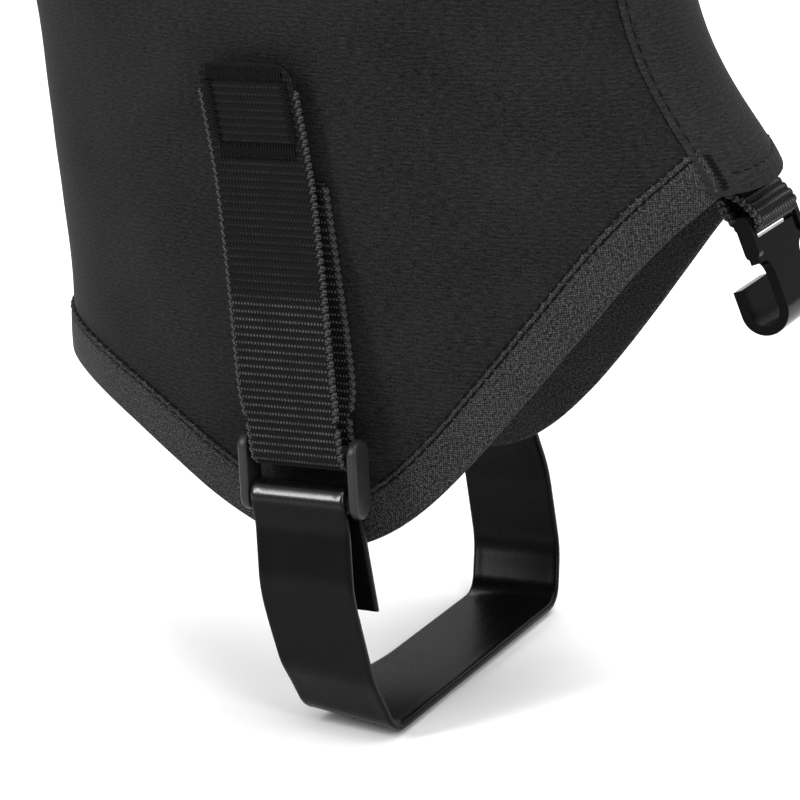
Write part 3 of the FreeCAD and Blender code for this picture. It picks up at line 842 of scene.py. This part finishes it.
def hem_band():
    """Band of coarser cloth along the lower edge, with its two stitch rows."""
    us = steps(0, HEM_RUN[-1], 0.75, 0.4)
    vs = np.concatenate([0.75 * (1 - np.cos(np.linspace(0, math.pi / 2, 6))), np.linspace(1.1, 9.0, 11),
                         np.linspace(9.2, 12.0, 15)])
    end = np.minimum(rolled(us - us[0], 0.4), rolled(us[-1] - us, 0.4))[:, None]
    share = np.minimum(end, rolled(vs, 0.75) * rolled(HEM_WIDTH - vs, 0.2))
    u, v = np.meshgrid(us, vs, indexing="ij")
    angle = np.interp(u, HEM_RUN, HEM_ANGLE)
    rise = (hem_high(angle) - hem_low(angle)) * v / HEM_WIDTH
    lean = np.interp(u, HEM_RUN, np.gradient(hem_low(HEM_ANGLE), HEM_RUN))
    faces = hem_top(u, v), hem_bottom(u, v)
    piece = slab("hem_binding", hem_place, u, v, faces, share, "hem", weave=(u + rise * lean, v, 0 * u))
    length = HEM_RUN[-1]
    along = np.linspace(2, length - 2, 900)
    upper = stitch_row("hem_stitches", hem_place, level(along, HEM_GROOVE), hem_top,
                       radius=0.3, sink=0.05)
    edge = stitch_row("hem_seam_stitches", hem_place, level(along, HEM_SEAM_ROW),
                      constant(0.12), radius=0.26, sink=0.05)
    attach([piece, upper, edge], "gaiter", ["hem_band"])
    return piece, length


# ---- placket ----
def placket_top(u, v):
    """Outer face: a rolled and sewn seam edge, a flat field, and a doubled hem along the bottom."""
    field = 0.75 + 1.35 * ramp(u, SEAM_Y + 1.2, SEAM_Y + 9)
    seam = 0.35 * np.exp(-((u - SEAM_Y - 0.6) / 0.6) ** 4)
    groove = -0.32 * bell(u - SEAM_Y, PLACKET_SEAM_INSET, 0.4)
    fold = 0.30 * ramp(v, PLACKET_Z + 5.0, PLACKET_Z + 3.9) + 0.22 * ramp(u, FREE_Y - 6.5, FREE_Y - 4.5)
    row = -0.24 * bell(v - PLACKET_Z, PLACKET_ROW_RISE, 0.38) * ramp(FREE_Y - u, 1.5, 3)
    off_seam, off_row = np.abs(u - SEAM_Y - PLACKET_SEAM_INSET), np.abs(v - PLACKET_Z - PLACKET_ROW_RISE)
    pucker = puckers(v, off_seam, 1.4) + puckers(u, off_row, 1.2)
    ease = 0.30 * noise(u / 21 + 3, v / 37, 41) * ramp(u, SEAM_Y + 3, SEAM_Y + 10)
    return field + seam + groove + fold + row + pucker + ease


def placket_bottom(u, v):
    """Inner face, which follows the outer one."""
    inner = 0.05 + 1.25 * ramp(u, SEAM_Y + 1, SEAM_Y + 9)
    return inner + 0.30 * noise(u / 21 + 3, v / 37, 41) * ramp(u, SEAM_Y + 3, SEAM_Y + 10)


def sloped(u, v, h):
    """front_strip with the flap's lower edge rising towards its free side."""
    share = (u - SEAM_Y) / (FREE_Y - SEAM_Y) - 0.5
    return front_strip(u, v + PLACKET_RISE * share * ramp(v, PLACKET_Z + 60, PLACKET_Z), h)


def free_edge(v):
    """Y of the placket's free edge, rounded at the lower corner."""
    drop = np.clip(PLACKET_Z + PLACKET_CORNER - v, 0, PLACKET_CORNER)
    return FREE_Y - PLACKET_CORNER + np.sqrt(PLACKET_CORNER ** 2 - drop ** 2)


def placket():
    """Front flap over the opening, with its stitch rows."""
    roll = 0.75
    low = PLACKET_Z + PLACKET_CORNER * (1 - np.cos(np.linspace(0, math.pi / 2, 22)))
    vs = np.concatenate([low, steps(PLACKET_Z + PLACKET_CORNER, TOP_Z, 1.1, roll)[5:]])
    share_u = steps(0, 1, 1 / 44, 0.02)
    v = vs[None] + 0 * share_u[:, None]
    u = SEAM_Y + (free_edge(v) - SEAM_Y) * share_u[:, None]
    across = np.minimum(u - SEAM_Y, free_edge(v) - u)
    share = np.minimum(rolled(across, roll), rolled(np.minimum(v - PLACKET_Z, TOP_Z - v), roll))
    faces = placket_top(u, v), placket_bottom(u, v)
    piece = slab("placket_flap", sloped, u, v, faces, share, "placket")
    upright = level(np.linspace(PLACKET_Z + 5, TOP_Z - 4, 400), SEAM_Y + PLACKET_SEAM_INSET)[:, ::-1]
    seam = stitch_row("placket_seam_stitches", sloped, upright, placket_top)
    line = level(np.linspace(SEAM_Y + 5.5, FREE_Y - 3.2, 60), PLACKET_Z + PLACKET_ROW_RISE)
    row = stitch_row("placket_hem_stitches", sloped, line, placket_top, pitch=2.7)
    tack = bar_tack("placket_bar_tack", sloped, (SEAM_Y + 3.2, PLACKET_Z + 1.4),
                    (SEAM_Y + 3.2, PLACKET_Z + 9.0), 1.5, placket_top)
    start, end = metres((0, SEAM_Y + 0.5, 0)), metres((0, SEAM_Y + 12.5, 0))
    attach((piece, seam, row, tack), "gaiter", ["placket"], "placket", start, end)
    return piece


def bar_tack(name, place, start, end, width, surface, pitch=0.42):
    """Dense zigzag of thread between two flat points."""
    start, end = np.array(start, float), np.array(end, float)
    ahead = end - start
    length = np.linalg.norm(ahead)
    side = np.array((-ahead[1], ahead[0])) / length * width / 2
    count = int(length / pitch)
    line = np.array([start + ahead * i / count + side * (-1) ** i for i in range(count + 1)])
    t = np.linspace(0, 1, 6)[None, :, None]
    flat = line[:-1, None] * (1 - t) + line[1:, None] * t
    arch = np.sin(math.pi * t[..., 0]) ** 0.6
    u, v = flat[..., 0], flat[..., 1]
    h = surface(u, v) - 0.12 + arch * 0.3
    return threads(name, place, u, v, h, 0.21 * (0.7 + 0.3 * arch[0]))


def tape(name, place, us, vs, low, high, material, lumps):
    """Strip of pile tape with sewn edges that stand a little lower than its field."""
    u, v, share = cloth_grid(steps(*us, 0.9, 0.35), steps(*vs, 0.9, 0.35), 0.35)

    def field(u, v):
        return high - 0.25 * ramp(from_edge(u, v, us, vs), 2.6, 1.6) + lumps * noise(u / 1.7, v / 1.7, 53)

    piece = slab(name, place, u, v, (field(u, v), low), share, material, (low + high) / 2)
    sewn = stitch_row(name + "_stitches", place, rectangle(us, vs, 1.3, 200), field, pitch=2.6, radius=0.16)
    return piece, sewn


def placket_tapes():
    """Loop tape on the panel's front edge and hook tape under the flap."""
    def inside(u, v, h):
        """The hook tape faces the leg, so its height runs inwards."""
        return front_strip(u, v, 2.75 - h)

    loop = tape("front_loop_tape", front_strip, (-8.5, 16.5), (152, 402), 0.05, 0.8,
                "loop_pile", 0.05)
    attach(loop, "gaiter", ["body_loop_tape"])
    hook = tape("placket_hook_strip", inside, (-7, 15), (154, 400), 0.9, 1.65, "hook_pile", 0.02)
    attach(hook, "placket", ["placket_hook_tape"])


# ---- cuff and calf cinch ----
def cuff_gather(u):
    """Gathers where the elastic runs, round the back and the inner side."""
    angle = angle_at(u)
    x, y = 80 * np.cos(angle), np.sin(angle)
    amount = ramp(y, 0.12, 0.35) + ramp(x, -40, -56)
    wave = np.cos(2 * math.pi * (u + 2.2 * noise(u / 9, 0 * u, 61)) / 7.4)
    return np.clip(amount, 0, 1) * (0.55 * wave + 0.35 * noise(u / 6, 0 * u, 67))


def cuff_top(u, v):
    """Outer wall of the folded cuff, with sewn rows at its foot and below its upper fold."""
    puff = 1.45 + 0.5 * np.sin(math.pi * np.clip((v - 411) / 19.5, 0, 1)) * ramp(v, 411, 411.5)
    low_row, high_row = (0.35 * bell(v, z, 0.45) for z in CUFF_ROWS)
    return puff - low_row - high_row + cuff_gather(u) * (0.35 + 0.65 * np.sin(math.pi * (v - CUFF_Z) / 26))


def cuff_bottom(u, v):
    """Inner wall, whose gathers lie a little behind the outer ones."""
    return -1.2 + 0.4 * cuff_gather(u + 3.5)


def top_cuff():
    """Folded cuff, and the elastic in it."""
    start, end = (girth(a) for a in slit_angles(CUFF_MIDDLE_Z))
    u, v, share = cloth_grid(steps(start, end, 0.9, 0.5), steps(CUFF_Z, TOP_Z, 0.75, 1.1), 1.1)
    piece = slab("cuff_fold", round_leg, u, v, (cuff_top(u, v), cuff_bottom(u, v)), share, "hem")
    line = np.linspace(start + 2, end - 2, 900)
    rows = [stitch_row(f"cuff_stitches_{i}", round_leg, level(line, z), cuff_top)
            for i, z in enumerate(CUFF_ROWS)]
    attach([piece, *rows], "gaiter", ["top_cuff"])
    ends = girth(math.pi + math.acos(52.5 / 80)), girth(math.asin(14 / 57.0))
    u, v, share = cloth_grid(steps(ends[1], ends[0], 1.2, 0.4), steps(CINCH_LOW, CINCH_HIGH, 1.2, 0.4), 0.4)
    half = 0.4 + 0.12 * np.cos(2 * math.pi * v / 2.4)
    elastic = slab("elastic_band", round_leg, u, v, (0.1 + half, 0.1 - half), share, "elastic", 0.1)
    attach([elastic], "gaiter", ["cuff_elastic"])
    return piece, end - start


def cuff_ribbon(x0, x1, offset):
    """place(u, v, h) along the outer side of the cuff between two X places, and its length."""
    radius = np.where(np.array((x0, x1)) >= 0, front_reach(CUFF_MIDDLE_Z), back_reach(CUFF_MIDDLE_Z)) + offset
    a0, a1 = -np.arccos(np.array((x0, x1)) / radius)
    angle = np.linspace(a0, a1, 400)
    path = wall(angle, np.full(400, CUFF_MIDDLE_Z), offset)[:, :2]

    def to_leg(x, y, across):
        return np.stack([x, y, (CINCH_LOW + CINCH_HIGH) / 2 + across], -1)

    return ribbon_place(path[::-1], to_leg)


def calf_cinch():
    """Webbing through the cam buckle, its folded end, and the tab that holds the buckle."""
    width = CINCH_HIGH - CINCH_LOW
    place, length = cuff_ribbon(-56, 48, 3.6)
    band = webbing("calf_webbing", place, length, width, 1.2)
    attach(band, "gaiter", ["cinch_webbing"])
    place, length = cuff_ribbon(44.5, 53, 4.2)
    tip = webbing("calf_webbing_tail", place, length, width, 2.4)
    tack = bar_tack("calf_tail_tack", place, (length * 0.55, -7.5), (length * 0.55, 7.5), 1.6, constant(1.25))
    attach([*tip, tack], "gaiter", ["cinch_tail_tip"])
    place, length = cuff_ribbon(24, 43, 2.2)
    anchor = webbing("buckle_tab_webbing", place, length, width, 1.1)
    sewn = [bar_tack(f"buckle_tab_tack_{i}", place, (s, -7.6), (s, 7.6), 1.5, constant(0.62))
            for i, s in enumerate((2.5, 6.5))]
    attach([*anchor, *sewn], "gaiter", ["buckle_anchor_tab"])


# ---- buckle webbing, adjuster tab and strap ----
def between_cheeks(bar, lean):
    """Like leaning, with the webbing squeezed a little where it runs between the ring's cheeks."""
    placed = leaning(bar, lean)

    def to_leg(y, z, across):
        return placed(y, z, across * (SQUEEZE + (1 - SQUEEZE) * ramp(z, *CHEEK_Z)))
    return to_leg


def ankle_webbing():
    """Webbing sewn to the ankle and round the ring's top bar. The loop round the bar is a piece of its own."""
    y_in, y_out, low = TOP_BAR[1] + LOOP_R, TOP_BAR[1] - LOOP_R, TOP_BAR[2] - LOOP_R
    points = [(-47.2, BASE_SEWN_Z), (-46.5, 100.0), (-46.9, 86.0), (y_in, 76.5),
              (y_in, low), (y_out, low), (y_out, TAB_FOOT_Z + OVERLAP)]
    path = rounded_path(points, [60.0, 14.0, 8.0, LOOP_R - 0.01, LOOP_R - 0.01])
    place, length = ribbon_place(path, between_cheeks(TOP_BAR, BASE_LEAN))
    loop_start = BASE_SEWN_Z - LOOP_TOP_Z

    def loop_place(u, v, height):
        return place(u + loop_start, v, height)

    base = webbing("ankle_webbing", place, loop_start + OVERLAP)
    loop = webbing("ring_loop", loop_place, length - loop_start, phase=loop_start)
    tack = bar_tack("ankle_webbing_tack", place, (3, -11.5), (3, 11.5), 1.8, constant(-1.0))
    attach([tack], "gaiter")
    high, middle, end = (metres((0, 0, z)) for z in (BASE_BEND_Z, LOOP_TOP_Z, LOOP_TOP_Z - 5))
    attach(base, "gaiter", ["buckle_webbing"], "strap", high, middle)
    attach(loop, "strap", (), "ring", middle, end)
    return length - OVERLAP


def tab_stitching(place, length):
    """Dense zigzag all round the sewn square at the tab's upper end."""
    surface = constant(WEBBING_THICK / 2 + 0.16)
    top, foot, side = length - 2.4, length - 20.5, WEBBING_WIDTH / 2 - 2.6
    parts = [
        bar_tack("tab_tack_top", place, (top, -side), (top, side), 3.4, surface, 0.36),
        bar_tack("tab_tack_foot", place, (foot, -side), (foot, side), 4.4, surface, 0.36),
    ]
    for i, v in enumerate((-side, side)):
        ends = (foot + 2.2, v), (top - 1.7, v)
        parts.append(bar_tack(f"tab_tack_side_{i}", place, *ends, 2.2, surface, 0.4))
    return parts


def adjuster_tab(phase):
    """Free upper part of the same webbing, from just above the ring's top bar."""
    y_out = TOP_BAR[1] - LOOP_R
    points = [(y_out, TAB_FOOT_Z), (y_out + 0.4, 88), (-52.6, 112), (-50.1, 136.0), (-51.46, TAB_END_Z)]
    path = rounded_path(points, [30.0, 60.0, 90.0])
    place, length = ribbon_place(path, between_cheeks(TOP_BAR, TAB_LEAN))

    # fades the painted sheen dots on the upper tab, from about 30 mm along it
    def dot_fade(u):
        return ramp(u, DOT_FADE_FROM - 1, DOT_FADE_FROM + 1)

    tab = webbing("pull_tab", place, length, phase=phase, corner=TAB_CORNER, dot_fade=dot_fade)
    parts = [*tab, *tab_stitching(place, length)]
    start, end = (metres((0, 0, z)) for z in TAB_BEND)
    attach(parts, "gaiter", ["adjuster_tab"], "adjuster_tab", start, end)


def tab_patches():
    """Pile patches between the tab and the ankle."""
    for name, node, body, slot, distance, z0, z1, pile in (
        ("tab_loop_square", "tab_loop_patch", "gaiter", "loop_tape", 0.0, 139, 160, "loop_pile"),
        ("tab_hook_square", "tab_hook_patch", "adjuster_tab", "hook_tape", 0.85, 140, 159, "hook_pile"),
    ):
        slope = 0.05
        path = np.array([(-47.55 - distance - slope * (z - 136), z) for z in np.linspace(z0, z1, 40)])
        place, length = ribbon_place(path, leaning(TOP_BAR, TAB_LEAN))
        patch = tape(name, place, (0, length), (-11.5, 11.5), 0.0, 0.65, pile, 0.03)
        attach(patch, body, [node])


def strap():
    """Smooth strap over the ring's lower bar, under the boot and up to the rivet."""
    y_in, y_out, high = LOW_BAR[1] + LOW_WRAP, LOW_BAR[1] - LOW_WRAP, LOW_BAR[2] + LOW_WRAP
    floor = STRAP_THICK / 2
    inner_side = 46.6 + STRAP_THICK / 2
    points = [
        (y_in, 31), (y_in, high), (y_out, high), (y_out, 53), (-60.2, 38), (-57.5, 16),
        (-50.5, floor), (47.0, floor), (53.5, 14), (54.5, 36), (inner_side, 58), (inner_side, 83),
    ]
    radii = [LOW_WRAP - 0.01, LOW_WRAP - 0.01, 18.0, 25.0, 16.0, 7.0, 8.0, 20.0, 25.0, 22.0]
    path = rounded_path(points, radii, 0.5)
    plain, length = ribbon_place(path, leaning(LOW_BAR, STRAP_LEAN))

    def place(u, v, h):
        """The strap rolls a little under the sole's edge: its rear edge turns under first."""
        p = plain(u, v, h)
        near = ramp(p[..., 1], 0, -44) * ramp(p[..., 2], 34, 6) * (u > 40)
        p[..., 2] += near * 3.2 * (0.5 - v / STRAP_WIDTH)
        return p

    us, vs = steps(0, length, 0.9, 0.45), steps(-STRAP_WIDTH / 2, STRAP_WIDTH / 2, 1.1, 0.45)
    u, v, share = cloth_grid(us, vs, 0.45)
    half = STRAP_THICK / 2 + 0.10 * bell(STRAP_WIDTH / 2 - np.abs(v), 1.0, 0.5)
    weave = u, v, ramp(u, *POLISH_START) * ramp(u, *POLISH_END)
    piece = slab("instep_strap_band", place, u, v, (half, -half), share, "strap", 0.0, weave)
    attach([piece], "strap", ["instep_strap"])


def anchor_patch():
    """Doubled patch behind the strap's rivet, on the inner side of the ankle."""
    axis = tilted(TOP_BAR, RING, -RING_TURN)

    def place(u, v, h):
        return wall(np.arccos(np.clip(u / front_reach(v), -1, 1)), v, h)

    us, vs = steps(axis[0] - 16, axis[0] + 16, 0.9, 0.5), steps(60.5, 88, 0.9, 0.5)
    u, v, share = cloth_grid(us, vs, 0.5)
    outer = 1.15 + 0.08 * noise(u / 6, v / 6, 71)
    piece = slab("anchor_reinforcement", place, u, v, (outer, 0.35), share, "hem", 0.75)
    sewn = stitch_row("anchor_stitches", place, rectangle(us, vs, 1.8, 60), constant(1.15), pitch=2.6)
    attach([piece, sewn], "gaiter", ["anchor_patch"])
    return piece


def lace_hook_webbing():
    """Two layers out from under the placket and one loop round the hook's bar."""
    wrap = HOOK_BAR_R + 0.25 + WEBBING_THICK / 2
    bar = HOOK_BAR[[0, 2]]
    knee = HOOK_KNEE
    top = knee + (HOOK_SEWN_TOP - knee) * 1.1
    down = (bar - knee) / np.linalg.norm(bar - knee)
    side = np.array((-down[1], down[0]))
    gap = side * WEBBING_THICK * 0.54
    start = (top - knee) / np.linalg.norm(top - knee)
    lift = np.array((start[1], -start[0])) * WEBBING_THICK * 0.54
    lift = lift if lift @ gap > 0 else -lift
    points = [top + lift, knee + gap, bar + side * wrap - down * 4.5, bar + side * wrap + down * wrap,
              bar - side * wrap + down * wrap, bar - side * wrap - down * 4.5, knee - gap, top - lift]
    path = rounded_path(points, [6.0, 5.0, wrap - 0.01, wrap - 0.01, 5.0, 6.0], 0.2)

    def to_leg(x, z, across):
        return np.stack([x, HOOK_BAR[1] + across, z], -1)

    place, length = ribbon_place(path, to_leg)
    loop = webbing("lace_hook_loop", place, length, yarn="loop_webbing")
    attach(loop, "gaiter", ["lace_hook_webbing"])


def dress_cad_nodes():
    """Materials for the rigid pieces, which are shown as designed."""
    for material, nodes in (
        ("ring", ("instep_ring", "cam_buckle_frame", "cam_buckle_lever")),
        ("hook", ("lace_hook",)),
        ("steel", ("cam_lever_pin", "strap_rivet", "rivet_washer")),
    ):
        for name in nodes:
            node = frame["nodes"][name]
            node.data.materials.clear()
            node.data.materials.append(MATERIALS[material])
            node.data.shade_smooth()
            split = node.modifiers.new("edges", "EDGE_SPLIT")
            split.split_angle = math.radians(40)


# ---- studio ----
def view_camera():
    """Camera near the ankle, on the outer side, a little above it."""
    target = metres((27.5, -36.0, 81.0))
    azimuth, elevation, distance = math.radians(26), math.radians(17), 0.722
    back = Vector((math.sin(azimuth) * math.cos(elevation), -math.cos(azimuth) * math.cos(elevation),
                   math.sin(elevation)))
    camera = new_object("camera", bpy.data.cameras.new("camera"))
    camera.data.sensor_width = 36
    camera.data.lens = 18 / math.tan(math.radians(7.5))
    camera.location = Vector(target) + back * distance
    camera.rotation_mode = "QUATERNION"
    camera.rotation_quaternion = (-back).to_track_quat("-Z", "Y")
    camera.data.clip_start, camera.data.clip_end = 0.01, 100
    bpy.context.scene.camera = camera


def area_light(name, place, aim, size, power):
    light = bpy.data.lights.new(name, "AREA")
    light.shape = "RECTANGLE"
    light.size, light.size_y = size
    light.energy = power
    lamp = new_object(name, light)
    lamp.location = place
    lamp.rotation_mode = "QUATERNION"
    lamp.rotation_quaternion = (Vector(aim) - Vector(place)).to_track_quat("-Z", "Y")


def paper_floor():
    half = 12.0
    corners = [(-half, -half, 0), (half, -half, 0), (half, half, 0), (-half, half, 0)]
    mesh = bpy.data.meshes.new("floor")
    mesh.from_pydata(corners, [], [(0, 1, 2, 3)])
    floor = new_object("floor", mesh)
    paper = Shader("paper_floor", Roughness=0.9, Specular_IOR_Level=0.1)
    shade = paper.noise(paper.solid(), 0.02, 2)
    paper.colour(shade, 0.93, 0.96)
    mesh.materials.append(paper.material)


def lights():
    """Tall key on the left, small side light, one behind for the floor and a wide one above."""
    world = bpy.data.worlds.new("studio")
    world.use_nodes = True
    world.node_tree.nodes["Background"].inputs["Color"].default_value = (1, 1, 1, 1)
    world.node_tree.nodes["Background"].inputs["Strength"].default_value = 0.38
    bpy.context.scene.world = world
    area_light("key", (-0.72, -1.15, 1.05), (0, 0, 0.1), (0.18, 0.95), 16)
    area_light("side", (1.3, -0.9, 1.1), (0, 0, 0.15), (0.6, 0.6), 10)
    area_light("back", (-0.4, 1.5, 1.5), (-0.4, 1.1, 0), (2.2, 1.6), 36)
    area_light("top", (0.3, -0.1, 1.8), (0, 0, 0), (1.5, 1.5), 22)
    scene = bpy.context.scene
    scene.view_settings.view_transform = "Standard"
    scene.view_settings.look = "None"


view_camera()
body = body_panel()
hem, hem_length = hem_band()
flap = placket()
placket_tapes()
cuff, cuff_length = top_cuff()
calf_cinch()
adjuster_tab(ankle_webbing())
tab_patches()
strap()
patch = anchor_patch()
lace_hook_webbing()
dress_cad_nodes()
paper_floor()
lights()
